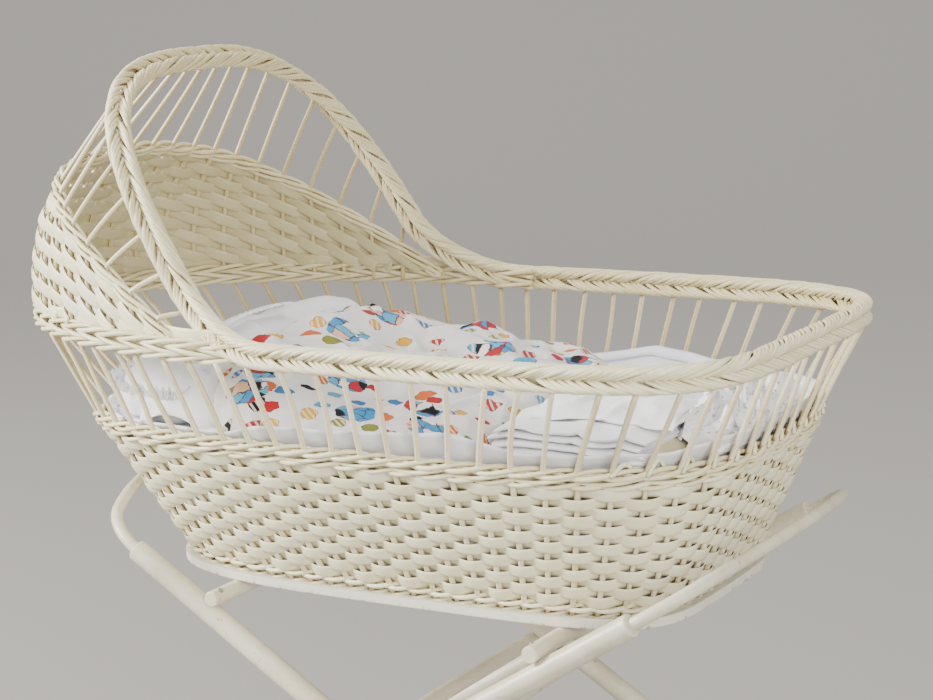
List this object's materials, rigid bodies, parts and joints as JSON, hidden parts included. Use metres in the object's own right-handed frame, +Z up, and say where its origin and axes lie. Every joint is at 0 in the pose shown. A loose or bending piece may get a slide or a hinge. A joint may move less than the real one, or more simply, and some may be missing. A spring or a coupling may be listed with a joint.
{
  "type": "baby cradle",
  "caption": "Wicker baby cradle: hooded woven basket with an open gallery, thick plaited rim and soft bedding, lifted onto a folding cross-legged pole stand.",
  "frame": {"origin": "on the floor under the middle of the whole cradle", "axes": "+X to the foot end, -X to the hood end, +Z up, Y across between the two long sides"},
  "size_m": [0.8862, 0.5252, 0.9094],
  "materials": {
    "painted_pole": "old gloss paint over round wooden poles, worn at the ends",
    "bare_bar": "thinly painted round wooden bars, wood showing through",
    "steel_fastener": "dull zinc-plated steel",
    "painted_board": "painted plywood with a worn brown edge",
    "painted_wicker": "cream paint on willow rods and flat splints, yellowed in the crevices",
    "white_cotton": "washed white cotton",
    "cream_blanket": "soft cream blanket",
    "printed_cotton": "off-white cotton with small coloured shapes",
    "eyelet_lace": "white cotton lace with small holes"
  },
  "bodies": {
    "inner_frame": {"inner_pole_near": "painted_pole", "inner_pole_far": "painted_pole", "inner_top_bow": "painted_pole", "inner_floor_runner": "painted_pole", "inner_stop_bar": "bare_bar", "inner_support_bar": "bare_bar", "inner_bar_nails": "steel_fastener", "pivot_bolts": "steel_fastener", "pivot_nuts": "steel_fastener", "pivot_washers": "steel_fastener"},
    "outer_frame": {"outer_pole_near": "painted_pole", "outer_pole_far": "painted_pole", "outer_top_bow": "painted_pole", "outer_floor_runner": "painted_pole", "outer_stop_bar": "bare_bar", "outer_support_bar": "bare_bar", "outer_bar_nails": "steel_fastener"},
    "basket": {"base_board": "painted_board", "base_border": "painted_wicker", "lower_wall": "painted_wicker", "lower_wale": "painted_wicker", "gallery_stakes_near": "painted_wicker", "gallery_stakes_far": "painted_wicker", "gallery_stakes_foot": "painted_wicker", "gallery_stakes_head": "painted_wicker", "rim_border": "painted_wicker", "hood_foot_band": "painted_wicker", "hood_weave": "painted_wicker", "hood_wale": "painted_wicker", "hood_stakes": "painted_wicker", "hood_arch": "painted_wicker", "mattress": "white_cotton", "folded_blanket": "cream_blanket", "under_sheet": "white_cotton", "pillow": "white_cotton", "patterned_quilt": "printed_cotton", "folded_cloths": "white_cotton", "lace_cloth": "eyelet_lace"}
  },
  "joints": [
    {"name": "basket_lift", "type": "slide", "parent": "inner_frame", "child": "basket", "axis": [-0.342, 0, 0.9397], "range_m": [0, 0.9]},
    {"name": "stand_fold", "type": "hinge", "parent": "inner_frame", "child": "outer_frame", "pos_m": [0.04425, 0, 0.25098], "axis": [0, -1, 0], "range_deg": [0, 100]}
  ],
  "couplings": [
    {"joint": "stand_fold", "follows": "basket_lift", "rad_per_m": 1.9373}
  ]
}
